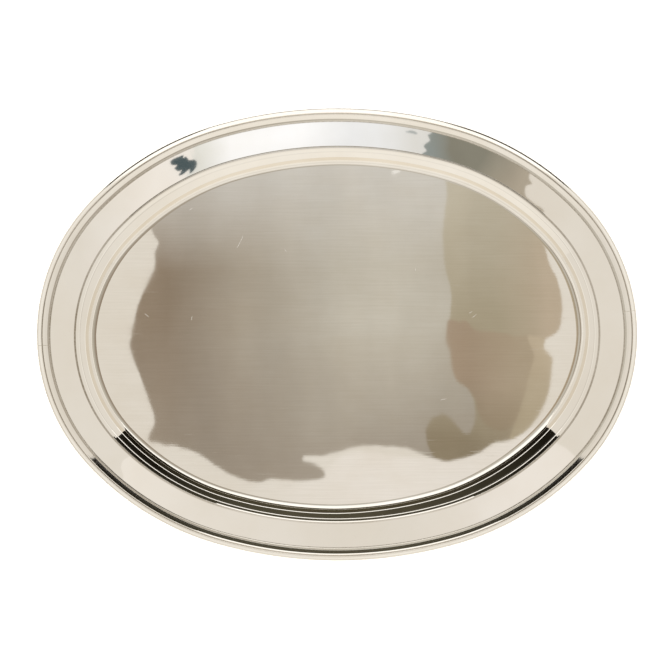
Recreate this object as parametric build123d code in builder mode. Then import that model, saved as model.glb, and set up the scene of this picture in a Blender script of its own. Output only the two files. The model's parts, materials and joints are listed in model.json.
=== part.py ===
from build123d import *
from collections import namedtuple
from math import atan2, cos, degrees, radians, sin, tan
import os

# Oval serving tray: one pressed nickel silver sheet, with a reeded border soldered along its edge.
# Frame: origin at the centre of the well's underside, which is the face the tray stands on.
# +X along the length, +Y across the width towards the back, +Z up. Millimetres and degrees.
#
# Every moulding line runs parallel to the outer edge, so a point of a cross-section is given by
# its inset, the distance inwards from the outer edge, and its height above the standing face.

# Outline: an oval of eight tangent arcs, two ends, four shoulders and two sides
HALF_LENGTH = 203.0
HALF_WIDTH = 153.0
END_RADIUS = 130.0
SHOULDER_RADIUS = 191.0
END_HALF_ANGLE = 43.5

# Pressed sheet
SHEET = 1.2
SHEET_EDGE_INSET = 1.8
WELL_DEPTH = 8.8
WELL_PLATE_INSET = 42.0

# Fine bead where the flange turns down into the wall
BEAD_INSET = 25.2
BEAD_WIDTH = 1.6
BEAD_HEIGHT = 0.3
BEAD_CORNER = 0.35

# Stepped wall, from the bead inwards: two short risers, each with a narrow ledge below it
RISER_START_INSET = 27.1
RISER_RUNS = (1.7, 2.4)
RISER_SLOPES = (48.0, 55.0)
LEDGE_RUN = 0.8
LEDGE_SLOPE = 12.0
STEP_CORNER = 0.3

# The lowest riser sweeps into the well through a cove that eases out
COVE_SLOPE = 52.0
COVE_RADIUS = 6.8
EASE_SLOPE = 8.0
EASE_RADIUS = 18.0
EASE_CORNER_INSET = 38.9

# Underside of the wall, a plain slope with rounded ends
BACK_TOP_INSET = 26.1
BACK_FOOT_INSET = 35.8
BACK_TOP_RADIUS = 1.5
BACK_FOOT_RADIUS = 6.0

# Reeded border: insets and heights above the flange. A negative sag bulges outwards.
FILM = 0.15
BORDER_WIDTH = 8.9
LIP_ROUND = 1.1
EDGE_ROUND_TOP = (1.2, 1.85)
EDGE_ROUND_SAG = -0.32
OUTER_CREST = (3.4, 2.5)
OUTER_CREST_SAG = -0.12
GROOVE = (3.8, 2.15)
INNER_CREST = (4.2, 2.6)
REED_SHOULDER = (4.9, 2.4)
REED_SHOULDER_SAG = -0.05
REED_FOOT = (7.2, 0.5)
REED_SLOPE_SAG = -0.13
STRIP_EDGE = (8.5, 0.5)
STRIP_EDGE_HEIGHT = 0.3

# Butt joints of the border's two half lengths, as angles about the centres of the end arcs
BUTT_RIGHT = 7.2
BUTT_LEFT = 183.4
BUTT_GAP = 0.3
SOLDER_FILLET = 0.25

FLANGE_TOP = SHEET + WELL_DEPTH

Arc = namedtuple("Arc", "centre radius start size")


def slope_drop(run, slope):
    """Height lost over a horizontal run at a slope in degrees."""
    return run * tan(radians(slope))


def oval_arcs():
    """The outer edge's eight arcs, counterclockwise from the right end, angles from +X."""
    end_x = HALF_LENGTH - END_RADIUS
    end_angle = radians(END_HALF_ANGLE)
    shoulder_x = end_x + (END_RADIUS - SHOULDER_RADIUS) * cos(end_angle)
    shoulder_y = (END_RADIUS - SHOULDER_RADIUS) * sin(end_angle)
    below_side = shoulder_y - HALF_WIDTH
    side_radius = SHOULDER_RADIUS**2 - shoulder_x**2 - below_side**2
    side_radius /= 2 * (SHOULDER_RADIUS + below_side)
    side_y = HALF_WIDTH - side_radius
    side_start = degrees(atan2(shoulder_y - side_y, shoulder_x))
    shoulder_size = side_start - END_HALF_ANGLE
    side_size = 180 - 2 * side_start

    arcs = []
    for half in (0, 1):
        sign = 1 - 2 * half
        turn = 180 * half
        shoulder = (sign * shoulder_x, sign * shoulder_y)
        other_shoulder = (-sign * shoulder_x, sign * shoulder_y)
        arcs.append(Arc((sign * end_x, 0), END_RADIUS, turn - END_HALF_ANGLE, 2 * END_HALF_ANGLE))
        arcs.append(Arc(shoulder, SHOULDER_RADIUS, turn + END_HALF_ANGLE, shoulder_size))
        arcs.append(Arc((0, sign * side_y), side_radius, turn + side_start, side_size))
        arcs.append(Arc(other_shoulder, SHOULDER_RADIUS, turn + 180 - side_start, shoulder_size))
    return arcs


def between(arc, start, end):
    """The stretch of an arc from one angle to another."""
    return Arc(arc.centre, arc.radius, start, end - start)


def radial_plane(arc):
    """Upright plane through the arc's start: x outwards from the arc's centre, y upwards."""
    outwards = (cos(radians(arc.start)), sin(radians(arc.start)), 0)
    along_z = (sin(radians(arc.start)), -cos(radians(arc.start)), 0)
    return Plane(origin=(*arc.centre, 0), x_dir=outwards, z_dir=along_z)


def arc_axis(arc):
    """Upright axis through the arc's centre."""
    return Axis((*arc.centre, 0), (0, 0, 1))


def oval_face(inset, height):
    """The oval at an inset from the outer edge, as a face at a height."""
    with BuildSketch(Plane.XY.offset(height)) as oval:
        with BuildLine():
            for arc in OVAL:
                CenterArc(arc.centre, arc.radius - inset, arc.start, arc.size)
        make_face()
    return oval.sketch.face()


def sheet_top_line():
    """Points and corner radii of the sheet's upper face, from its edge to the well."""
    points = [(SHEET_EDGE_INSET, FLANGE_TOP)]
    radii = []
    crest = FLANGE_TOP + BEAD_HEIGHT
    points += [(BEAD_INSET, FLANGE_TOP), (BEAD_INSET + BEAD_CORNER, crest)]
    points += [(BEAD_INSET + BEAD_WIDTH - 2 * BEAD_CORNER, crest)]
    radii += [0.1, 0.25, 0.25]
    inset = RISER_START_INSET
    height = FLANGE_TOP - slope_drop(BEAD_CORNER, LEDGE_SLOPE)
    for run, slope in zip(RISER_RUNS, RISER_SLOPES):
        points.append((inset, height))
        inset += run
        height -= slope_drop(run, slope)
        points.append((inset, height))
        radii += [STEP_CORNER, STEP_CORNER]
        inset += LEDGE_RUN
        height -= slope_drop(LEDGE_RUN, LEDGE_SLOPE)
    points.append((inset, height))
    radii.append(STEP_CORNER)

    # The cove's corner lies where the lowest riser meets the easing slope
    ease = tan(radians(EASE_SLOPE))
    cove = tan(radians(COVE_SLOPE))
    drop = height - SHEET
    corner = (drop + cove * inset - ease * EASE_CORNER_INSET) / (cove - ease)
    points.append((corner, SHEET + ease * (EASE_CORNER_INSET - corner)))
    points.append((EASE_CORNER_INSET, SHEET))
    points.append((WELL_PLATE_INSET, SHEET))
    radii += [COVE_RADIUS, EASE_RADIUS]
    return points, radii


def sheet_back_line():
    """Points and corner radii of the sheet's underside, from the well to its edge."""
    points = [(WELL_PLATE_INSET, 0), (BACK_FOOT_INSET, 0)]
    points += [(BACK_TOP_INSET, FLANGE_TOP - SHEET), (SHEET_EDGE_INSET, FLANGE_TOP - SHEET)]
    return points, [BACK_FOOT_RADIUS, BACK_TOP_RADIUS]


def sheet_section(arc):
    """Section of the flange and wall, from the sheet's edge to the flat well."""
    top_points, top_radii = sheet_top_line()
    back_points, back_radii = sheet_back_line()
    with BuildSketch(radial_plane(arc)) as section:
        with BuildLine():
            FilletPolyline(*[(arc.radius - i, h) for i, h in top_points], radius=top_radii)
            FilletPolyline(*[(arc.radius - i, h) for i, h in back_points], radius=back_radii)
            Line((arc.radius - WELL_PLATE_INSET, SHEET), (arc.radius - WELL_PLATE_INSET, 0))
            Line(
                (arc.radius - SHEET_EDGE_INSET, FLANGE_TOP - SHEET),
                (arc.radius - SHEET_EDGE_INSET, FLANGE_TOP),
            )
        make_face()
    return section.sketch.face()


def moulding_section(arc):
    """Section of the border: rounded outer edge, groove, inner reed and a flat strip."""

    def at(inset, height):
        return (arc.radius - inset, FLANGE_TOP + height)

    rebate = SHEET_EDGE_INSET - FILM
    lip_start = at(LIP_ROUND, -SHEET)
    widest = at(0, LIP_ROUND - SHEET)
    with BuildSketch(radial_plane(arc)) as section:
        with BuildLine():
            Line(at(rebate, -SHEET), lip_start)
            TangentArc(lip_start, widest, tangent=(1, 0))
            SagittaArc(widest, at(*EDGE_ROUND_TOP), EDGE_ROUND_SAG)
            SagittaArc(at(*EDGE_ROUND_TOP), at(*OUTER_CREST), OUTER_CREST_SAG)
            Line(at(*OUTER_CREST), at(*GROOVE))
            Line(at(*GROOVE), at(*INNER_CREST))
            SagittaArc(at(*INNER_CREST), at(*REED_SHOULDER), REED_SHOULDER_SAG)
            SagittaArc(at(*REED_SHOULDER), at(*REED_FOOT), REED_SLOPE_SAG)
            Line(at(*REED_FOOT), at(*STRIP_EDGE))
            Line(at(*STRIP_EDGE), at(BORDER_WIDTH, STRIP_EDGE_HEIGHT))
            Line(at(BORDER_WIDTH, STRIP_EDGE_HEIGHT), at(BORDER_WIDTH, FILM))
            Line(at(BORDER_WIDTH, FILM), at(rebate, FILM))
            Line(at(rebate, FILM), at(rebate, -SHEET))
        make_face()
    return section.sketch.face()


def solder_section(arc):
    """Section of the solder: a film round the sheet's edge, with a fillet at the border's foot."""

    def at(inset, height):
        return (arc.radius - inset, FLANGE_TOP + height)

    with BuildSketch(radial_plane(arc)) as section:
        with BuildLine():
            Polyline(
                at(SHEET_EDGE_INSET - FILM, -SHEET),
                at(SHEET_EDGE_INSET, -SHEET),
                at(SHEET_EDGE_INSET, 0),
                at(BORDER_WIDTH + SOLDER_FILLET, 0),
                at(BORDER_WIDTH, SOLDER_FILLET),
                at(BORDER_WIDTH, FILM),
                at(SHEET_EDGE_INSET - FILM, FILM),
                close=True,
            )
        make_face()
    return section.sketch.face()


OVAL = oval_arcs()
RIGHT_END, LEFT_END = OVAL[0], OVAL[4]
HALF_GAP = degrees(BUTT_GAP / 2 / END_RADIUS)

# Pressed sheet: well plate, then the wall and flange swept round the oval arc by arc
with BuildPart() as tray_body:
    extrude(oval_face(WELL_PLATE_INSET, 0), amount=SHEET)
    for arc in OVAL:
        revolve(sheet_section(arc), axis=arc_axis(arc), revolution_arc=arc.size)

# Solder under the whole border
with BuildPart() as rim_solder_bed:
    for arc in OVAL:
        revolve(solder_section(arc), axis=arc_axis(arc), revolution_arc=arc.size)

# The border's two half lengths run from butt joint to butt joint
back_arcs = [between(RIGHT_END, BUTT_RIGHT + HALF_GAP, END_HALF_ANGLE)]
back_arcs += OVAL[1:4]
back_arcs += [between(LEFT_END, LEFT_END.start, BUTT_LEFT - HALF_GAP)]
with BuildPart() as rim_moulding_back:
    for arc in back_arcs:
        revolve(moulding_section(arc), axis=arc_axis(arc), revolution_arc=arc.size)

front_arcs = [between(LEFT_END, BUTT_LEFT + HALF_GAP, LEFT_END.start + LEFT_END.size)]
front_arcs += OVAL[5:8]
front_arcs += [between(RIGHT_END, RIGHT_END.start, BUTT_RIGHT - HALF_GAP)]
with BuildPart() as rim_moulding_front:
    for arc in front_arcs:
        revolve(moulding_section(arc), axis=arc_axis(arc), revolution_arc=arc.size)

# Solder that fills each butt joint
right_gap = between(RIGHT_END, BUTT_RIGHT - HALF_GAP, BUTT_RIGHT + HALF_GAP)
with BuildPart() as butt_solder_right:
    revolve(moulding_section(right_gap), axis=arc_axis(right_gap), revolution_arc=right_gap.size)

left_gap = between(LEFT_END, BUTT_LEFT - HALF_GAP, BUTT_LEFT + HALF_GAP)
with BuildPart() as butt_solder_left:
    revolve(moulding_section(left_gap), axis=arc_axis(left_gap), revolution_arc=left_gap.size)

tray_body.part.label = "tray_body"
rim_solder_bed.part.label = "rim_solder_bed"
rim_moulding_back.part.label = "rim_moulding_back"
rim_moulding_front.part.label = "rim_moulding_front"
butt_solder_right.part.label = "butt_solder_right"
butt_solder_left.part.label = "butt_solder_left"

os.makedirs("parts", exist_ok=True)
export_step(tray_body.part, "parts/tray_body.step")
export_step(rim_solder_bed.part, "parts/rim_solder_bed.step")
export_step(rim_moulding_back.part, "parts/rim_moulding_back.step")
export_step(rim_moulding_front.part, "parts/rim_moulding_front.step")
export_step(butt_solder_right.part, "parts/butt_solder_right.step")
export_step(butt_solder_left.part, "parts/butt_solder_left.step")
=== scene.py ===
"""Oval serving tray: polished silver plate, with a brushed well and a reeded border."""

import json
import math

import bpy
from mathutils import Matrix, Vector, noise


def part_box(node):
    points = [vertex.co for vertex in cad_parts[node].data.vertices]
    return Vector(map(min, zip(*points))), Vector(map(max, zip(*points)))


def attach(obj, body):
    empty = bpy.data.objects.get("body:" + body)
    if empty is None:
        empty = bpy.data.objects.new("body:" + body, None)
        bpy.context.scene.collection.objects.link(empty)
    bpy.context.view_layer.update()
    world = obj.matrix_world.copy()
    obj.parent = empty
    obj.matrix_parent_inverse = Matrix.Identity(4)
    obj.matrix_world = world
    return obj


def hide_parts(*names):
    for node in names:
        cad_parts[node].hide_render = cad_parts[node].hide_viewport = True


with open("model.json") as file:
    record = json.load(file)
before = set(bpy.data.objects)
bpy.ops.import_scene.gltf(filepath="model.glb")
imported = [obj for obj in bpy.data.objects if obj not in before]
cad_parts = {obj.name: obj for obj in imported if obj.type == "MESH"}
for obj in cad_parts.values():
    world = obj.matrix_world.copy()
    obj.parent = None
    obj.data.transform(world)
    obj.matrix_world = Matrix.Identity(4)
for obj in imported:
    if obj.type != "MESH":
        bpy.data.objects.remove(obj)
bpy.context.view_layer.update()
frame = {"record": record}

MM = 0.001

# Heights and half sizes of the frame's pieces, in metres
TRAY_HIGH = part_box("tray_body")[1]
BACK_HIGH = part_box("rim_moulding_back")[1]
FRONT_LOW, FRONT_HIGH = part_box("rim_moulding_front")
HALF_LENGTH = FRONT_HIGH.x
HALF_WIDTH = BACK_HIGH.y
RIM_TOP = FRONT_HIGH.z
FLANGE_UNDER = FRONT_LOW.z
SHEET = frame["record"]["mounts"][1]["pos_m"][2]
FLANGE_TOP = FLANGE_UNDER + SHEET
SHEET_EDGE = HALF_LENGTH - TRAY_HIGH.x

# The oval of the outer edge, as in the frame: eight tangent arcs
END_RADIUS = 130 * MM
SHOULDER_RADIUS = 191 * MM
END_HALF_ANGLE = math.radians(43.5)
BUTT_RIGHT = math.radians(7.2)
BUTT_LEFT = math.radians(183.4)
BUTT_GAP = 0.3 * MM

# Border, in mm: its width, and the film of solder under it
BORDER_WIDTH = 8.9
FILM = 0.15

# Well: where its flat faces begin
WELL_INSET = 42 * MM

# Fineness of the meshes: spacing of the sections along the edge, and rings across the well
SHEET_STEP = 1.8 * MM
BORDER_STEP = 1.6 * MM
TOP_RINGS = 30
UNDER_RINGS = 8

# Lift in mm that keeps the underside's unevenness clear of the table
UNDER_LIFT = 0.07

# Mesh attribute: a vertex's distance from the outer edge in mm
INSET = "profile_inset"


# ---------------------------------------------------------------- outline and profiles


def oval_arcs():
    """Centre, radius, start and size of the outer edge's arcs, counterclockwise from +X."""
    end_x = HALF_LENGTH - END_RADIUS
    shoulder_x = end_x + (END_RADIUS - SHOULDER_RADIUS) * math.cos(END_HALF_ANGLE)
    shoulder_y = (END_RADIUS - SHOULDER_RADIUS) * math.sin(END_HALF_ANGLE)
    below = shoulder_y - HALF_WIDTH
    side_radius = SHOULDER_RADIUS**2 - shoulder_x**2 - below**2
    side_radius /= 2 * (SHOULDER_RADIUS + below)
    side_y = HALF_WIDTH - side_radius
    side_start = math.atan2(shoulder_y - side_y, shoulder_x)
    shoulder_size = side_start - END_HALF_ANGLE
    arcs = []
    for half in (0, 1):
        sign = 1 - 2 * half
        turn = math.pi * half
        near = (sign * shoulder_x, sign * shoulder_y)
        far = (-sign * shoulder_x, sign * shoulder_y)
        arcs.append(((sign * end_x, 0), END_RADIUS, turn - END_HALF_ANGLE, 2 * END_HALF_ANGLE))
        arcs.append((near, SHOULDER_RADIUS, turn + END_HALF_ANGLE, shoulder_size))
        arcs.append(((0, sign * side_y), side_radius, turn + side_start, math.pi - 2 * side_start))
        arcs.append((far, SHOULDER_RADIUS, turn + math.pi - side_start, shoulder_size))
    return arcs


def stations(arcs, closed, step=SHEET_STEP):
    """Points on the outer edge with their outward directions: (x, y, outward x, outward y)."""
    found = []
    for centre, radius, start, size in arcs:
        count = max(1, round(radius * size / step))
        for i in range(count):
            angle = start + size * i / count
            out = (math.cos(angle), math.sin(angle))
            found.append((centre[0] + radius * out[0], centre[1] + radius * out[1], *out))
    if not closed:
        centre, radius, start, size = arcs[-1]
        out = (math.cos(start + size), math.sin(start + size))
        found.append((centre[0] + radius * out[0], centre[1] + radius * out[1], *out))
    return found


def part_of(arc, start, end):
    """The stretch of an arc between two angles."""
    return (arc[0], arc[1], start, end - start)


def rounded(points, steps):
    """A line through (inset, height, corner radius) points in mm, corners rounded, as metres.

    Each straight run gets a point close to its ends, so that it shades flat.
    """
    line = []
    last = len(points) - 1
    for i, (inset, height, radius) in enumerate(points):
        here = Vector((inset, height))
        if i in (0, last) or radius <= 0:
            line.append(here)
            continue
        before = (Vector(points[i - 1][:2]) - here).normalized()
        after = (Vector(points[i + 1][:2]) - here).normalized()
        half = before.angle(after) / 2
        reach = radius / math.tan(half)
        start = here + before * reach
        end = here + after * reach
        middle = here + (before + after).normalized() * (radius / math.sin(half))
        first = (start - middle).angle(end - middle)
        turn = 1 if before.cross(after) < 0 else -1
        for s in range(steps + 1):
            spoke = start - middle
            spoke.rotate(Matrix.Rotation(turn * first * s / steps, 2))
            line.append(middle + spoke)
    return [(p.x * MM, p.y * MM) for p in supported(line)]


def supported(line, near=0.12, long_run=0.6):
    """Adds a point just inside each end of every long straight run."""
    out = [line[0]]
    for a, b in zip(line, line[1:]):
        length = (b - a).length
        if length > long_run:
            out.append(a.lerp(b, near / length))
            out.append(a.lerp(b, 1 - near / length))
        out.append(b)
    return out


def ramp(inset, start, end):
    """0 before the start and 1 after the end; the start and end are in mm."""
    return min(1.0, max(0.0, (inset / MM - start) / (end - start)))


def ease(t):
    """Smooth step from 0 to 1."""
    t = min(1.0, max(0.0, t))
    return t * t * (3 - 2 * t)


# ---------------------------------------------------------------- meshes


def new_piece(name, verts, faces, insets, material, replaces):
    """A smooth-shaded mesh object that rides on the tray and stands for CAD nodes.

    Each vertex keeps its distance from the outer edge in mm, which places the tarnish and painted
    shade.
    """
    mesh = bpy.data.meshes.new(name)
    mesh.from_pydata(verts, [], faces)
    mesh.attributes.new(INSET, "FLOAT", "POINT").data.foreach_set("value", insets)
    mesh.polygons.foreach_set("use_smooth", [True] * len(mesh.polygons))
    mesh.update()
    piece = bpy.data.objects.new(name, mesh)
    bpy.context.scene.collection.objects.link(piece)
    mesh.materials.append(material)
    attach(piece, "root")
    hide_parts(*replaces)


def sweep(edge, profile, closed, shape=None):
    """Vertices, quads and insets of a closed (inset, height) profile swept along the edge."""
    verts = []
    insets = [inset / MM for inset, _ in profile] * len(edge)
    for x, y, ox, oy in edge:
        for inset, height in profile:
            if shape:
                inset, height = shape(x, y, ox, oy, inset, height)
            verts.append((x - ox * inset, y - oy * inset, height))
    n, m = len(edge), len(profile)
    faces = []
    for i in range(n if closed else n - 1):
        j = (i + 1) % n
        for k in range(m):
            l = (k + 1) % m
            faces.append((i * m + k, j * m + k, j * m + l, i * m + l))
    return verts, faces, insets


def capped_sweep(edge, profile, shape):
    """An open sweep with a face on each end."""
    verts, faces, insets = sweep(edge, profile, closed=False, shape=shape)
    m, count = len(profile), len(verts)
    # The ends have their own corners, so that their faces don't bend the sides' shading
    verts += verts[:m] + verts[-m:]
    insets += insets[:m] * 2
    faces.append(tuple(reversed(range(count, count + m))))
    faces.append(tuple(range(count + m, count + 2 * m)))
    return verts, faces, insets


def well_wave(x, y, lift):
    """Height of the well's gentle unevenness and its lift in mm, zero at the edge, in metres."""
    reach = math.hypot(x / (HALF_LENGTH - WELL_INSET), y / (HALF_WIDTH - WELL_INSET))
    inside = ease((1.0 - reach) / 0.25)
    broad = noise.noise(Vector((x * 9, y * 11, 0.3)))
    fine = noise.noise(Vector((x * 34, y * 38, 4.1)))
    return inside * (lift + 0.05 * broad + 0.008 * fine) * MM


def off_true(x, y, ox, oy):
    """How far the wall's lines stray inwards from true: hand pressing leaves them uneven."""
    steady = 0.30 * oy - 1.10 * ox * oy
    wander = 0.30 * noise.noise(Vector((x * 9, y * 9, 2.2)))
    return (steady + wander) * MM


def foot_off_true(ox, oy, inset):
    """How much further in the lower wall lies, by its outward direction and its own inset.

    The middle riser spreads at two of the corners, the foot at the right end, and the cove
    at both ends.
    """
    middle = ramp(inset, 28.85, 31.95) * (0.2 * ox * ox + 3.8 * max(0.0, -ox * oy))
    foot = ramp(inset, 34.8, 36.4) * (0.5 * ox * ox + 0.5 * ox)
    cove = ramp(inset, 36.6, 37.9) * 1.6 * ox * ox
    return (middle + foot + cove) * MM


def flange_wave(x, y):
    """Small unevenness left by planishing the flange, in metres."""
    return 0.035 * MM * noise.noise(Vector((x * 21, y * 21, 7.7)))


def sheet_top():
    """Upper face of the sheet in mm: (inset, height above the standing face, corner radius)."""
    top = FLANGE_TOP / MM
    floor = SHEET / MM
    return [
        (SHEET_EDGE / MM, top, 0),
        (25.15, top, 0.12),
        (25.55, top + 0.3, 0.3),
        (26.3, top + 0.3, 0.45),
        (27.1, top - 0.07, 0.25),
        (28.4, top - 1.15, 0.2),
        (28.85, top - 1.25, 0.2),
        (31.95, top - 4.30, 0.2),
        (32.4, top - 4.40, 0.25),
        (34.8, floor + 0.55, 3.2),
        (37.2, floor, 7.0),
        (WELL_INSET / MM, floor, 0),
    ]


def sheet_back():
    """Underside of the sheet in mm, from the well outwards."""
    under = FLANGE_UNDER / MM
    return [
        (WELL_INSET / MM, 0, 0),
        (35.8, 0, 6.0),
        (26.1, under, 1.5),
        (SHEET_EDGE / MM, under, 0),
    ]


def close_well(verts, faces, ring, height, lift, rings, flip):
    """Fills a ring of vertices with one face of the well: smaller rings, then a hub."""
    border = [verts[i] for i in ring]
    count = len(ring)
    previous = ring
    for r in range(1, rings):
        scale = 1 - r / rings
        current = []
        for x, y, _ in border:
            px, py = x * scale, y * scale
            current.append(len(verts))
            verts.append((px, py, height + well_wave(px, py, lift)))
        for i in range(count):
            j = (i + 1) % count
            quad = (previous[i], previous[j], current[j], current[i])
            faces.append(quad[::-1] if flip else quad)
        previous = current
    hub = len(verts)
    verts.append((0, 0, height + well_wave(0, 0, lift)))
    for i in range(count):
        tri = (previous[i], previous[(i + 1) % count], hub)
        faces.append(tri[::-1] if flip else tri)


def build_tray_body(material):
    """The pressed sheet: flange and wall swept round the oval, and the well's two faces."""
    edge = stations(oval_arcs(), closed=True)
    top = rounded(sheet_top(), steps=5)
    back = rounded(sheet_back(), steps=4)

    def shape(x, y, ox, oy, inset, height):
        pressed = ease((inset - 22 * MM) / (3 * MM))
        wall = ease((WELL_INSET - inset) / (2 * MM))
        flat = ease((inset - 10 * MM) / (3 * MM)) * ease((25 * MM - inset) / (3 * MM))
        if height > FLANGE_UNDER + 0.5 * SHEET:
            height += flange_wave(x, y) * flat
        inset += off_true(x, y, ox, oy) * pressed + foot_off_true(ox, oy, inset) * wall
        return inset, height

    verts, faces, insets = sweep(edge, top + back, closed=True, shape=shape)
    n, m = len(edge), len(top) + len(back)
    # The strip between the two well edges is open: the well's faces close it
    top_edge = len(top) - 1
    under_edge = top_edge + 1
    faces = [f for f in faces if not (f[0] % m == top_edge and f[3] % m == under_edge)]
    top_ring = [i * m + top_edge for i in range(n)]
    under_ring = [i * m + under_edge for i in range(n)]
    close_well(verts, faces, top_ring, SHEET, 0, TOP_RINGS, flip=False)
    close_well(verts, faces, under_ring, 0, UNDER_LIFT, UNDER_RINGS, flip=True)
    insets += [WELL_INSET / MM] * (len(verts) - len(insets))
    new_piece("tray_sheet", verts, faces, insets, material, ["tray_body"])


def moulding_profile():
    """Closed section of the border in mm: (inset, height above the flange, corner radius)."""
    rebate = SHEET_EDGE / MM - FILM
    top = FLANGE_TOP / MM
    rim = (RIM_TOP - FLANGE_TOP) / MM
    section = [
        (rebate, -SHEET / MM, 0),
        (1.1, -SHEET / MM, 0.3),
        (0.3, -0.88, 0.5),
        (0.0, -0.1, 0.5),
        (0.08, 1.1, 0.6),
        (0.35, 1.74, 0.35),
        (0.75, 2.1, 0.4),
        (1.4, 2.31, 0.9),
        (2.4, 2.44, 4.0),
        (3.4, 2.5, 0.3),
        (3.8, 2.08, 0.12),
        (4.12, rim, 0.2),
        (4.5, rim - 0.12, 0.4),
        (5.05, rim - 0.37, 0.4),
        (6.15, rim - 1.15, 1.2),
        (7.25, 0.58, 0.2),
        (8.3, 0.5, 0.2),
        (BORDER_WIDTH, 0.26, 0.08),
        (BORDER_WIDTH, FILM, 0),
        (rebate, FILM, 0),
    ]
    return rounded([(i, top + h, r) for i, h, r in section], steps=5)


def nick(x, y, at, width, depth):
    """Depth of a small dent at a point of the border."""
    distance = math.hypot(x - at[0], y - at[1])
    return depth * math.exp(-((distance / width) ** 2))


# Small dents in the border: where, how wide and how deep, in metres
NICKS = (
    ((-0.1967, -0.0077), 1.1 * MM, 0.10 * MM),
    ((0.020, 0.1445), 1.8 * MM, 0.06 * MM),
    ((-0.0715, -0.1365), 1.2 * MM, 0.08 * MM),
    ((-0.0495, -0.1405), 1.0 * MM, 0.07 * MM),
)


def build_moulding(name, arcs, material, node):
    """One half length of the border, with softened ends at its butt joints."""
    edge = stations(arcs, closed=False, step=BORDER_STEP)
    first, final = edge[0], edge[-1]

    def shape(x, y, ox, oy, inset, height):
        above = ease((height - FLANGE_TOP) / (1.2 * MM))
        # The section is filed down slightly at the butt joints
        end = min(math.hypot(x - e[0], y - e[1]) for e in (first, final))
        drop = 0.05 * MM * math.exp(-((end / (0.6 * MM)) ** 2)) * above
        for at, width, depth in NICKS:
            drop += nick(x - ox * inset, y - oy * inset, at, width, depth) * above
        uneven = 0.03 * MM * (noise.noise(Vector((x * 35, y * 35, 1.3))) - 1)
        return inset, height - drop + uneven * above

    verts, faces, insets = capped_sweep(edge, moulding_profile(), shape)
    new_piece(name, verts, faces, insets, material, [node])


def build_butt_solder(name, arc, material, node):
    """Solder filling one butt joint, dressed slightly below the border's surface."""
    edge = stations([arc], closed=False, step=BUTT_GAP / 3)

    def shape(x, y, ox, oy, inset, height):
        above = ease((height - FLANGE_TOP - 0.2 * MM) / (0.6 * MM))
        return inset + 0.05 * MM * (inset < 1 * MM), height - 0.09 * MM * above

    verts, faces, insets = capped_sweep(edge, moulding_profile(), shape)
    new_piece(name, verts, faces, insets, material, [node])


def build_solder_bed(material):
    """The film of solder round the sheet's edge, with an uneven fillet at the border's foot."""
    outer = SHEET_EDGE / MM - FILM
    inner = SHEET_EDGE / MM
    top = FLANGE_TOP / MM
    section = [
        (outer, top - SHEET / MM),
        (inner, top - SHEET / MM),
        (inner, top),
        (BORDER_WIDTH, top),
        (BORDER_WIDTH + 0.23, top + 0.01),
        (BORDER_WIDTH + 0.1, top + 0.09),
        (BORDER_WIDTH, top + 0.24),
        (BORDER_WIDTH, top + FILM),
        (outer, top + FILM),
    ]
    profile = [(i * MM, h * MM) for i, h in section]

    def shape(x, y, ox, oy, inset, height):
        if inset > (BORDER_WIDTH + 0.05) * MM:
            inset += 0.12 * MM * noise.noise(Vector((x * 120, y * 120, 5.0)))
        return inset, height

    edge = stations(oval_arcs(), closed=True)
    verts, faces, insets = sweep(edge, profile, closed=True, shape=shape)
    slot, node = "soft_solder", "rim_solder_bed"
    new_piece("rim_solder", verts, faces, insets, material, [node])


# ---------------------------------------------------------------- materials


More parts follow.
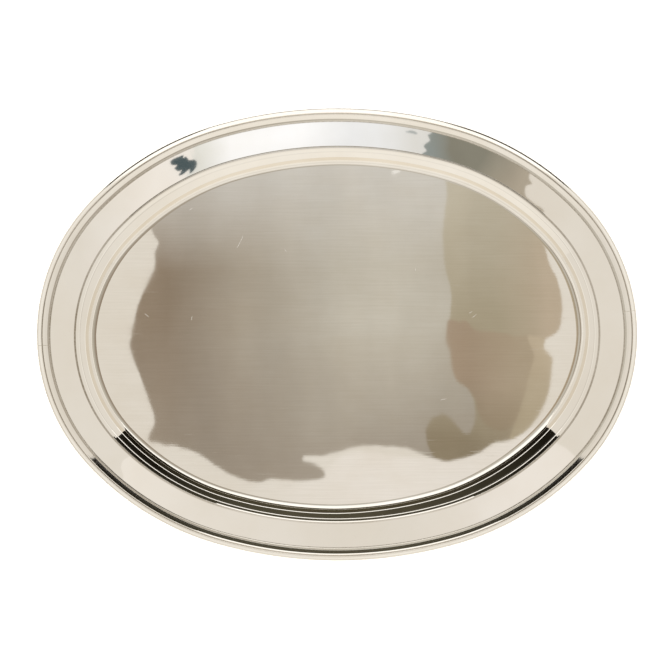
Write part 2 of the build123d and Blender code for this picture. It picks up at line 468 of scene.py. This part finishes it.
class Nodes:
    """A node tree with short calls for the nodes that the materials share."""

    def __init__(self, material):
        material.use_nodes = True
        self.tree = material.node_tree
        self.tree.nodes.clear()
        self.coords = self.add("ShaderNodeTexCoord").outputs["Object"]

    def add(self, kind, **settings):
        node = self.tree.nodes.new(kind)
        for key, value in settings.items():
            setattr(node, key, value)
        return node

    def link(self, a, b):
        self.tree.links.new(a, b)

    def feed(self, value, socket):
        """Links another node's output to a socket, or sets it to a number or colour."""
        if isinstance(value, (int, float, tuple)):
            socket.default_value = value
        else:
            self.link(value, socket)

    def position(self):
        """The object's own coordinates, one output for each axis."""
        split = self.add("ShaderNodeSeparateXYZ")
        self.link(self.coords, split.inputs[0])
        return split.outputs

    def noise(self, scale, stretch=(1, 1, 1), detail=3.0, rough=0.5):
        """Noise at a scale in cycles per metre, stretched along the axes."""
        mapping = self.add("ShaderNodeMapping")
        mapping.inputs["Scale"].default_value = stretch
        self.link(self.coords, mapping.inputs["Vector"])
        texture = self.add("ShaderNodeTexNoise")
        texture.inputs["Scale"].default_value = scale
        texture.inputs["Detail"].default_value = detail
        texture.inputs["Roughness"].default_value = rough
        self.link(mapping.outputs["Vector"], texture.inputs["Vector"])
        return texture.outputs["Fac"]

    def ranged(self, value, low, high, to_low, to_high):
        """Maps a value from one range to another, and stops it at the range's ends."""
        node = self.add("ShaderNodeMapRange", clamp=True)
        node.inputs["From Min"].default_value = low
        node.inputs["From Max"].default_value = high
        node.inputs["To Min"].default_value = to_low
        node.inputs["To Max"].default_value = to_high
        self.link(value, node.inputs["Value"])
        return node.outputs["Result"]

    def maths(self, operation, a, b=0.0):
        node = self.add("ShaderNodeMath", operation=operation)
        self.feed(a, node.inputs[0])
        self.feed(b, node.inputs[1])
        return node.outputs[0]

    def mix(self, factor, a, b, blend="MIX"):
        """Blends two colours."""
        node = self.add("ShaderNodeMix", data_type="RGBA", blend_type=blend)
        self.feed(factor, node.inputs["Factor"])
        self.feed(a, node.inputs[6])
        self.feed(b, node.inputs[7])
        return node.outputs[2]

    def bump(self, height, distance):
        node = self.add("ShaderNodeBump")
        node.inputs["Distance"].default_value = distance
        self.link(height, node.inputs["Height"])
        return node.outputs["Normal"]

    def output(self, shader):
        """Makes a shader the material's surface."""
        end = self.add("ShaderNodeOutputMaterial")
        self.link(shader.outputs[0], end.inputs["Surface"])

    def metal(self, colour, roughness, normal, film=None):
        """Polished metal; a film of tarnish and painted shade from 0 to 1 makes it partly dull."""
        shader = self.add("ShaderNodeBsdfPrincipled")
        shader.inputs["Metallic"].default_value = 1.0
        if film:
            self.link(self.ranged(film, 0.0, 1.0, 1.0, 0.78), shader.inputs["Metallic"])
        self.link(colour, shader.inputs["Base Color"])
        self.link(roughness, shader.inputs["Roughness"])
        self.link(normal, shader.inputs["Normal"])
        self.output(shader)


SILVER = (0.94, 0.90, 0.83, 1)
SILVER_WARM = (0.90, 0.85, 0.765, 1)
# Colour of the darkened creases and outer edge: partly tarnish, partly painted shade
TARNISH_AND_SHADE_TONE = (0.20, 0.16, 0.105, 1)

# Where the creases and the outer edge are darkened, partly by tarnish and partly by painted shade,
# in mm from the outer edge: centre, half width, depth of the tone
TARNISH_AND_SHADE_BANDS = (
    # The band at the outer edge is painted shade alone
    (0.2, 1.0, 0.42),
    (3.9, 0.6, 0.9),
    (6.5, 0.9, 0.1),
    (8.8, 0.7, 1.0),
    (25.75, 0.9, 1.0),
    (29.0, 0.4, 0.25),
)

# Hair scratches in the well: centre in metres, angle in degrees, half length in mm
SCRATCHES = (
    ((-0.0665, 0.0610), 62, 4.0),
    ((-0.0645, 0.0650), 70, 2.6),
    ((-0.0985, 0.0110), 80, 2.0),
    ((0.0930, 0.0125), 38, 2.6),
    ((0.0905, 0.0150), 30, 1.8),
    ((-0.0350, 0.0570), -50, 1.6),
    ((-0.1290, 0.0130), -40, 2.2),
    ((0.0530, 0.0440), 75, 1.3),
    ((-0.0990, 0.0850), 25, 1.8),
    ((0.0720, -0.0440), 12, 3.0),
)


def well_mask(n):
    """1 in the flat well's face, 0 on the wall and flange."""
    return n.ranged(n.position()["Z"], SHEET + 0.5 * MM, SHEET + 0.9 * MM, 1.0, 0.0)


def tarnish_and_painted_shade(n):
    """Tarnish and painted shade in the creases and at the outer edge, broken up by fine and coarse
    noise.
    """
    inset = n.add("ShaderNodeAttribute", attribute_name=INSET).outputs["Fac"]
    total = 0.0
    for centre, half_width, depth in TARNISH_AND_SHADE_BANDS:
        away = n.maths("ABSOLUTE", n.maths("SUBTRACT", inset, centre))
        total = n.maths("ADD", total, n.ranged(away, 0.45 * half_width, half_width, depth, 0.0))
    patchy = n.ranged(n.noise(14, detail=3), 0.35, 0.65, 0.65, 1.0)
    # It is heaviest towards both ends of the tray: painted shade standing in for the creases'
    # darker reflections at the ends
    ends = n.ranged(n.maths("ABSOLUTE", n.position()["X"]), 0.05, 0.17, 0.6, 1.0)
    patchy = n.maths("MULTIPLY", patchy, ends)
    gritty = n.ranged(n.noise(700, detail=2), 0.3, 0.7, 0.8, 1.0)
    return n.maths("MULTIPLY", total, n.maths("MULTIPLY", patchy, gritty))


def scratches(n):
    """1 on the few hair scratches, 0 elsewhere."""
    total = 0.0
    for (x, y), angle, half_length in SCRATCHES:
        mapping = n.add("ShaderNodeMapping", vector_type="TEXTURE")
        mapping.inputs["Location"].default_value = (x, y, 0)
        mapping.inputs["Rotation"].default_value = (0, 0, math.radians(angle))
        n.link(n.coords, mapping.inputs["Vector"])
        split = n.add("ShaderNodeSeparateXYZ")
        n.link(mapping.outputs["Vector"], split.inputs[0])
        along = n.maths("ABSOLUTE", split.outputs["X"])
        bend = n.maths("MULTIPLY", n.maths("MULTIPLY", along, along), 20.0)
        across = n.maths("ABSOLUTE", n.maths("SUBTRACT", split.outputs["Y"], bend))
        on_line = n.ranged(across, 0.06 * MM, 0.22 * MM, 1.0, 0.0)
        in_length = n.ranged(along, 0.3 * half_length * MM, half_length * MM, 1.0, 0.0)
        total = n.maths("MAXIMUM", total, n.maths("MULTIPLY", on_line, in_length))
    return total


def sheet_material():
    """Silver plate: a brushed well with fine lines along the tray, and a polished flange."""
    material = bpy.data.materials.new("plated_sheet")
    n = Nodes(material)
    well = well_mask(n)
    brush = n.noise(850, stretch=(0.03, 1, 1), detail=3)
    fine = n.noise(2600, stretch=(0.02, 1, 1), detail=2)
    cloud = n.noise(16, detail=4, rough=0.6)
    rubbed = n.noise(45, stretch=(0.4, 1, 1), detail=4, rough=0.6)
    hair = n.noise(1100, stretch=(0.05, 0.9, 1), detail=1)
    marks = n.maths("MULTIPLY", n.ranged(hair, 0.72, 0.80, 0.0, 0.16), well)
    marks = n.maths("MAXIMUM", marks, n.maths("MULTIPLY", scratches(n), well))

    tone = n.mix(n.ranged(cloud, 0.35, 0.65, 0.0, 1.0), SILVER, SILVER_WARM)
    lines = n.maths("MULTIPLY", n.ranged(brush, 0.35, 0.65, 0.0, 0.16), well)
    tone = n.mix(lines, tone, (0.74, 0.69, 0.60, 1))
    worn = n.maths("MULTIPLY", n.ranged(rubbed, 0.45, 0.75, 0.0, 0.22), well)
    tone = n.mix(worn, tone, (0.80, 0.72, 0.60, 1))
    # The creases darken with tarnish and painted shade; the same film dulls the metal there
    film = tarnish_and_painted_shade(n)
    tone = n.mix(film, tone, TARNISH_AND_SHADE_TONE)
    tone = n.mix(n.maths("MULTIPLY", marks, 0.5), tone, (0.99, 0.97, 0.94, 1))

    rough_well = n.ranged(rubbed, 0.3, 0.7, 0.012, 0.026)
    rough_well = n.maths("ADD", rough_well, n.maths("MULTIPLY", marks, 0.3))
    rough_flange = n.ranged(cloud, 0.3, 0.7, 0.010, 0.022)
    blend = n.add("ShaderNodeMix", data_type="FLOAT")
    n.link(well, blend.inputs[0])
    n.link(rough_flange, blend.inputs[2])
    n.link(rough_well, blend.inputs[3])

    height = n.maths("MULTIPLY", n.maths("ADD", brush, fine), well)
    normal = n.bump(height, 0.0004 * MM)
    n.metal(tone, blend.outputs[0], normal, film)
    return material


def border_material():
    """Polished silver plate with warm tarnish and painted shade in the border's groove and foot.
    """
    material = bpy.data.materials.new("plated_border")
    n = Nodes(material)
    cloud = n.noise(22, detail=4, rough=0.6)
    grit = n.noise(420, detail=3)
    tone = n.mix(n.ranged(cloud, 0.35, 0.65, 0.0, 1.0), SILVER, SILVER_WARM)
    # The groove, foot and outer edge darken with tarnish and painted shade
    film = tarnish_and_painted_shade(n)
    tone = n.mix(film, tone, TARNISH_AND_SHADE_TONE)
    rough = n.maths("ADD", n.ranged(grit, 0.3, 0.7, 0.04, 0.08), n.maths("MULTIPLY", film, 0.10))
    n.metal(tone, rough, n.bump(grit, 0.002 * MM), film)
    return material


def solder_material():
    """Dull grey solder, darkened by polish residue."""
    material = bpy.data.materials.new("soft_solder")
    n = Nodes(material)
    grit = n.noise(600, detail=4)
    dull, bright = (0.52, 0.47, 0.38, 1), (0.74, 0.69, 0.60, 1)
    tone = n.mix(n.ranged(grit, 0.3, 0.7, 0.0, 1.0), dull, bright)
    rough = n.ranged(grit, 0.3, 0.7, 0.18, 0.34)
    n.metal(tone, rough, n.bump(grit, 0.02 * MM))
    return material


# ---------------------------------------------------------------- floor, light and camera


CAMERA_HEIGHT = 2.4

# Cards: their height overhead, the spacing of overlapping ones, and the dome's radius
OVERHEAD = 1.6
LAYER = 0.004
DOME_RADIUS = 2.5
DOME_STEPS = 72

# The room's own tone, in linear colour
ROOM = (0.80, 0.77, 0.725, 1)


def mirrored(point, height):
    """Where a card at a height is seen in the level metal at a point of the tray."""
    scale = (CAMERA_HEIGHT + height) / CAMERA_HEIGHT
    return (point[0] * scale, point[1] * scale, height)


class Glow(Nodes):
    """A card's glow; u and v say where on the tray the level metal shows the card."""

    def __init__(self, name):
        self.material = bpy.data.materials.new(name)
        super().__init__(self.material)
        position = self.position()
        scale = mirrored((1, 1), OVERHEAD)[0]
        blotch = self.ranged(self.noise(7, detail=4, rough=0.55), 0.3, 0.7, -0.008, 0.008)
        self.u = self.maths("ADD", self.maths("DIVIDE", position["X"], scale), blotch)
        self.v = self.maths("ADD", self.maths("DIVIDE", position["Y"], scale), blotch)

    def fade(self, colour, other, along, start, end, most=1.0):
        """Blends from one colour to the other as a coordinate goes from start to end."""
        low, high = min(start, end), max(start, end)
        first, last = (0.0, most) if start < end else (most, 0.0)
        return self.mix(self.ranged(along, low, high, first, last), colour, other)

    def finish(self, colour, strength=1.0, mottle=0.06, stretch=(1, 0.35, 1)):
        """Adds faint mottling and the emission shader."""
        dim = (1 - 2 * mottle,) * 3 + (1,)
        speckle = self.ranged(self.noise(8, stretch=stretch, detail=5), 0.36, 0.64, 0.0, 1.0)
        mottled = self.mix(1.0, colour, self.mix(speckle, (1, 1, 1, 1), dim), blend="MULTIPLY")
        glow = self.add("ShaderNodeEmission")
        self.link(mottled, glow.inputs["Color"])
        glow.inputs["Strength"].default_value = strength
        self.output(glow)
        return self.material


def card(name, verts, faces, material):
    """A studio card: it is seen only in the metal, and throws no shadow."""
    mesh = bpy.data.meshes.new(name)
    mesh.from_pydata(verts, [], faces)
    obj = bpy.data.objects.new(name, mesh)
    bpy.context.scene.collection.objects.link(obj)
    mesh.materials.append(material)
    obj.visible_camera = False
    obj.visible_shadow = False
    obj.visible_diffuse = False


def smooth_loop(points, steps):
    """A closed Catmull-Rom curve through the points."""
    out = []
    count = len(points)
    for i in range(count):
        p0, p1, p2, p3 = (Vector(points[(i + k) % count]) for k in (-1, 0, 1, 2))
        for s in range(steps):
            t = s / steps
            a = 2 * p1 + (p2 - p0) * t
            a += (2 * p0 - 5 * p1 + 4 * p2 - p3) * t * t
            a += (3 * p1 - p0 - 3 * p2 + p3) * t * t * t
            out.append(a / 2)
    return out


def overhead_card(name, outline, material, layer=0.0, ragged=0.6 * MM, steps=8):
    """A flat card overhead; its outline is given where the level metal shows it, in mm.

    A card on a lower layer hides the ones above it.
    """
    height = OVERHEAD + layer * LAYER
    verts = []
    for p in smooth_loop(outline, steps):
        x, y = p.x * MM, p.y * MM
        x += ragged * noise.noise(Vector((x * 160, y * 160, 3.3)))
        y += ragged * noise.noise(Vector((x * 160, y * 160, 8.8)))
        verts.append(mirrored((x, y), height))
    card(name, verts, [tuple(range(len(verts)))], material)


def between(table, angle):
    """Value at an angle from a table of (angle, value) rows, blended linearly."""
    for (a, low), (b, high) in zip(table, table[1:]):
        if angle <= b:
            return low + (high - low) * (angle - a) / (b - a)
    return table[-1][1]


def level(start, end, rise):
    """A table for a dome card's edge that stays at one elevation."""
    return ((start, rise), (end, rise))


def dome_card(name, low, high, material):
    """Part of a dome round the tray.

    The tables hold the elevation of its lower and upper edge by azimuth, in degrees.
    """
    start, end = low[0][0], low[-1][0]
    verts = []
    for i in range(DOME_STEPS + 1):
        azimuth = start + (end - start) * i / DOME_STEPS
        angle = math.radians(azimuth)
        for table in (low, high):
            rise = math.radians(between(table, azimuth))
            out = DOME_RADIUS * math.cos(rise)
            up = DOME_RADIUS * math.sin(rise)
            verts.append((out * math.cos(angle), out * math.sin(angle), up))
    faces = [(2 * i, 2 * i + 2, 2 * i + 3, 2 * i + 1) for i in range(DOME_STEPS)]
    card(name, verts, faces, material)


def build_floor():
    """A plain pale floor."""
    half = 12.0
    mesh = bpy.data.meshes.new("floor")
    verts = [(-half, -half, 0), (half, -half, 0), (half, half, 0), (-half, half, 0)]
    mesh.from_pydata(verts, [], [(0, 1, 2, 3)])
    floor = bpy.data.objects.new("floor", mesh)
    bpy.context.scene.collection.objects.link(floor)
    material = bpy.data.materials.new("floor")
    material.use_nodes = True
    shader = material.node_tree.nodes["Principled BSDF"]
    shader.inputs["Base Color"].default_value = (0.93, 0.93, 0.93, 1)
    shader.inputs["Roughness"].default_value = 0.9
    shader.inputs["Specular IOR Level"].default_value = 0.1
    mesh.materials.append(material)


def build_light():
    """The room's even light, and a soft light overhead for the floor."""
    world = bpy.data.worlds.new("studio")
    bpy.context.scene.world = world
    world.use_nodes = True
    background = world.node_tree.nodes["Background"]
    background.inputs["Color"].default_value = ROOM
    background.inputs["Strength"].default_value = 1.0

    light = bpy.data.lights.new("floor_fill", "AREA")
    light.shape = "DISK"
    light.size = 5.0
    light.energy = 260
    lamp = bpy.data.objects.new("floor_fill", light)
    bpy.context.scene.collection.objects.link(lamp)
    lamp.location = (0, 0, 3.5)
    lamp.visible_glossy = False
    lamp.visible_camera = False


def build_camera():
    """The camera straight above the tray, a little off its centre."""
    data = bpy.data.cameras.new("camera")
    data.sensor_width = 36
    data.lens = 190.15
    data.clip_end = 100
    camera = bpy.data.objects.new("camera", data)
    bpy.context.scene.collection.objects.link(camera)
    camera.location = (-1.4 * MM, -0.35 * MM, CAMERA_HEIGHT)
    bpy.context.scene.camera = camera


# Outlines of the overhead cards where the level metal shows them, in mm from the tray's centre
CEILING = (
    (-125, 75), (-124, 68), (-121, 63), (-124, 56), (-124, 47), (-130, 32), (-136, 16),
    (-139, 0), (-140, -10), (-132, -32), (-126, -50), (-124, -60), (-127, -71), (-119, -74),
    (-108, -77), (-94, -82), (-80, -91), (-70, -96), (-54, -100), (-42, -97), (-26, -97),
    (-10, -95), (-7, -91), (-14, -87), (-22, -85), (-20, -82), (-8, -82), (2, -79), (16, -75),
    (32, -75), (48, -77), (62, -81), (74, -84), (86, -82), (96, -79), (105, -73), (114, -71),
    (122, -69), (131, -62), (138, -52), (143, -38), (145, -18), (143, -13), (139, -8),
    (140, -3), (147, 1), (151, 8), (152, 24), (149, 38), (145, 46), (142, 56), (139, 66),
    (127, 79), (100, 97), (74, 109), (40, 117), (0, 120), (-40, 117), (-80, 106), (-104, 94),
    (-118, 83),
)
RIGHT_BAY = (
    (74, 110), (75, 100), (75, 88), (73, 66), (75, 46), (79, 28), (78, 12), (76, 0), (78, -12),
    (80, -26), (83, -33), (89, -37), (93, -44), (94, -52), (93, -60), (90, -65), (86, -66),
    (82, -62), (77, -56), (71, -54), (64, -58), (61, -66), (62, -76), (67, -82), (74, -84),
    (86, -82), (96, -79), (105, -73), (114, -71), (122, -69), (131, -62), (138, -52),
    (143, -38), (145, -18), (143, -13), (139, -8), (140, -3), (147, 1), (151, 8), (152, 24),
    (149, 38), (145, 46), (142, 56), (139, 66), (127, 79), (100, 97), (84, 106),
)
RIGHT_BROWN = (
    (77, 10), (84, 9), (90, 10), (96, 3), (112, 2), (122, -1), (130, -1), (133, -14), (130, -26),
    (126, -42), (121, -57), (112, -64), (101, -60), (96, -52), (94, -44), (89, -37), (83, -33),
    (80, -26), (78, -12), (75, -2),
)
RIGHT_CORNER = (
    (129, -1), (140, -3), (139, -8), (143, -13), (145, -18), (143, -38), (138, -52),
    (131, -62), (122, -69), (117, -69), (121, -57), (126, -42), (130, -26), (133, -14),
)
WINDOW = (
    (-104, 104), (-97, 118), (-100, 134), (-60, 150), (0, 158), (50, 152), (64, 146),
    (64, 133), (62, 124), (62, 116), (30, 120), (-20, 121), (-70, 113),
)
TAN_PANEL = (
    (60, 113), (58, 121), (61, 124), (59, 127), (63, 131), (62, 135), (65, 137), (66, 146),
    (100, 140), (134, 120), (130, 107), (132, 102), (128, 100), (128, 94), (134, 88),
    (140, 83), (128, 80), (104, 96), (84, 106),
)
SPOT = (
    (-112, 117), (-109, 118.5), (-106, 121), (-103, 122), (-104, 119.5), (-101, 120.5),
    (-99, 118), (-96, 118), (-94.5, 116), (-95, 113), (-96.5, 111), (-99, 109.5), (-98.5, 112),
    (-101, 110.5), (-104, 108.5), (-107, 108), (-104, 111), (-107, 110.5), (-110, 112.5),
    (-107, 114), (-111.5, 114.5),
)
FAINT_SPOT = ((47, 137), (51, 137.5), (55, 136), (54, 135.3), (50, 136))
GLINT = ((37.5, 109.3), (39, 111), (43, 111.8), (43.5, 110.8), (40, 109))
LEFT_GLOW = (
    (-178, 30), (-186, 70), (-150, 112), (-112, 136), (-97, 128), (-97, 118), (-104, 104),
    (-128, 84), (-152, 56),
)
LOWER_LEFT_GLOW = (
    (-127, -78), (-139, -82), (-145, -88), (-144, -97), (-150, -112), (-110, -138),
    (-60, -150), (0, -152), (0, -128), (-40, -124), (-80, -111), (-105, -96),
)
LOWER_RIGHT_GLOW = (
    (138, -68), (150, -74), (159, -80), (163, -90), (142, -122), (90, -146), (30, -150),
    (30, -128), (70, -116), (104, -98),
)
WELL_GLOW = (
    (-60, -100), (-20, -98), (10, -80), (60, -82), (110, -74), (136, -62), (118, -90),
    (70, -112), (0, -120), (-60, -112),
)

# The far end of the room, in degrees: its azimuths, and the elevation of its dark part's top
FAR_END = (45, 135)
DARK_TOP = ((45, 58), (60, 58), (74, 46), (90, 36), (102, 40), (116, 50), (135, 50))


def ceiling_glow():
    """The dim ceiling: brown on the left, grey in the middle, paler beyond the tray."""
    n = Glow("ceiling")
    tone = n.fade((0.325, 0.265, 0.205, 1), (0.62, 0.595, 0.535, 1), n.u, -0.115, 0.005)
    tone = n.fade(tone, (0.37, 0.325, 0.275, 1), n.v, 0.010, -0.085, 0.8)
    tone = n.fade(tone, (0.73, 0.72, 0.70, 1), n.v, 0.045, 0.120)
    return n.finish(tone, mottle=0.07)


def bay_glow():
    """The browner bay on the right."""
    n = Glow("right_bay")
    tone = n.fade((0.485, 0.435, 0.33, 1), (0.61, 0.57, 0.475, 1), n.v, 0.015, 0.095)
    tone = n.fade(tone, (0.62, 0.52, 0.41, 1), n.u, 0.110, 0.145, 0.8)
    tone = n.fade(tone, (0.33, 0.28, 0.20, 1), n.v, -0.040, -0.072)
    return n.finish(tone, mottle=0.07)


def brown_glow():
    """The brown furniture in the bay's lower half."""
    n = Glow("right_brown")
    tone = n.fade((0.455, 0.365, 0.28, 1), (0.51, 0.43, 0.325, 1), n.u, 0.085, 0.125)
    return n.finish(n.fade(tone, (0.36, 0.30, 0.215, 1), n.v, -0.035, -0.065), mottle=0.07)


def corner_glow():
    """The paler corner beside it."""
    n = Glow("right_corner")
    tone = n.fade((0.60, 0.515, 0.395, 1), (0.50, 0.435, 0.32, 1), n.v, -0.010, -0.060)
    return n.finish(tone)


def window_glow():
    """Pale daylight beyond the tray: white, turning bluish to the right."""
    n = Glow("window")
    tone = n.fade((0.86, 0.88, 0.87, 1), (1.10, 1.13, 1.20, 1), n.u, -0.092, -0.070)
    tone = n.fade(tone, (0.93, 0.965, 1.03, 1), n.u, -0.020, 0.010)
    tone = n.fade(tone, (0.84, 0.855, 0.87, 1), n.u, 0.030, 0.056)
    return n.finish(tone, mottle=0.035, stretch=(0.5, 1.6, 1))


def tan_glow():
    """The tan panel beyond the tray on the right, bluish at its left edge."""
    n = Glow("tan_panel")
    tone = n.fade((0.34, 0.385, 0.39, 1), (0.26, 0.255, 0.215, 1), n.u, 0.064, 0.080)
    along = n.maths("SUBTRACT", n.u, n.maths("MULTIPLY", n.v, 0.6))
    tone = n.fade(tone, (0.50, 0.45, 0.375, 1), along, 0.028, 0.062)
    return n.finish(tone, mottle=0.10, stretch=(1.2, 0.6, 1))


def side_glow(name, bright, far, start, end, along="u"):
    """A pale patch that fades into the room's own tone."""
    n = Glow(name)
    return n.finish(n.fade(bright, far, getattr(n, along), start, end), mottle=0.01)


def dark_glow():
    """The dark far end of the room: olive brown in the middle, near black to both sides."""
    n = Glow("far_dark")
    aside = n.maths("ABSOLUTE", n.u)
    return n.finish(n.fade((0.085, 0.077, 0.052, 1), (0.012, 0.010, 0.007, 1), aside, 0.15, 0.75))


def plain_glow(name, colour, strength=1.0):
    """An even tone."""
    return Glow(name).finish(colour, strength, mottle=0.03)


def build_cards():
    """What the level metal mirrors, then what the sloping metal mirrors."""
    overhead_card("ceiling", CEILING, ceiling_glow())
    overhead_card("right_bay", RIGHT_BAY, bay_glow(), layer=-1)
    overhead_card("right_brown", RIGHT_BROWN, brown_glow(), layer=-2)
    overhead_card("right_corner", RIGHT_CORNER, corner_glow(), layer=-3)
    overhead_card("glint", GLINT, plain_glow("glint", (1.02, 1.02, 1.02, 1)), layer=-3)
    overhead_card("window", WINDOW, window_glow(), layer=1)
    overhead_card("tan_panel", TAN_PANEL, tan_glow())
    dark_spot = plain_glow("spot", (0.085, 0.12, 0.135, 1))
    overhead_card("spot", SPOT, dark_spot, layer=-1, ragged=1.2 * MM, steps=2)
    faint = plain_glow("faint_spot", (0.44, 0.48, 0.50, 1))
    overhead_card("faint_spot", FAINT_SPOT, faint, layer=-1)
    pale = (0.89, 0.86, 0.825, 1)
    glow = side_glow("left_glow", (0.96, 0.935, 0.92, 1), ROOM, -0.120, -0.176)
    overhead_card("left_glow", LEFT_GLOW, glow, layer=1)
    glow = side_glow("lower_left_glow", pale, ROOM, -0.140, -0.020)
    overhead_card("lower_left_glow", LOWER_LEFT_GLOW, glow, layer=1)
    glow = side_glow("lower_right_glow", (0.91, 0.88, 0.855, 1), ROOM, 0.130, 0.045)
    overhead_card("lower_right_glow", LOWER_RIGHT_GLOW, glow, layer=1)
    glow = side_glow("well_glow", ROOM, (0.86, 0.83, 0.80, 1), -0.060, 0.010)
    overhead_card("well_glow", WELL_GLOW, glow, layer=1.5)

    dome_card("far_dark", level(*FAR_END, -2), DARK_TOP, dark_glow())
    light = plain_glow("far_light", (1.0, 0.99, 0.97, 1), 1.3)
    dome_card("far_light", DARK_TOP, level(*FAR_END, 77), light)
    cornice = plain_glow("cornice", (0.97, 0.95, 0.91, 1))
    dome_card("cornice", level(135, 405, 65), level(135, 405, 74), cornice)
    near_wall = side_glow("near_wall", (0.95, 0.92, 0.87, 1), ROOM, -1.2, -0.6, "v")
    dome_card("near_wall", level(215, 325, 2), level(215, 325, 62), near_wall)


def build_tray():
    """The sheet, the border's two half lengths between their butt joints, and the solder."""
    border = border_material()
    solder = solder_material()
    build_tray_body(sheet_material())
    arcs = oval_arcs()
    right_end, left_end = arcs[0], arcs[4]
    gap = BUTT_GAP / 2 / END_RADIUS
    back = [part_of(right_end, BUTT_RIGHT + gap, END_HALF_ANGLE), *arcs[1:4]]
    back.append(part_of(left_end, left_end[2], BUTT_LEFT - gap))
    front = [part_of(left_end, BUTT_LEFT + gap, left_end[2] + left_end[3]), *arcs[5:8]]
    front.append(part_of(right_end, right_end[2], BUTT_RIGHT - gap))
    build_moulding("border_back", back, border, "rim_moulding_back")
    build_moulding("border_front", front, border, "rim_moulding_front")
    build_solder_bed(solder)
    right_gap = part_of(right_end, BUTT_RIGHT - gap, BUTT_RIGHT + gap)
    left_gap = part_of(left_end, BUTT_LEFT - gap, BUTT_LEFT + gap)
    build_butt_solder("butt_right", right_gap, solder, "butt_solder_right")
    build_butt_solder("butt_left", left_gap, solder, "butt_solder_left")


def main():
    bpy.context.scene.view_settings.view_transform = "Standard"
    build_floor()
    build_light()
    build_cards()
    build_camera()
    build_tray()


main()
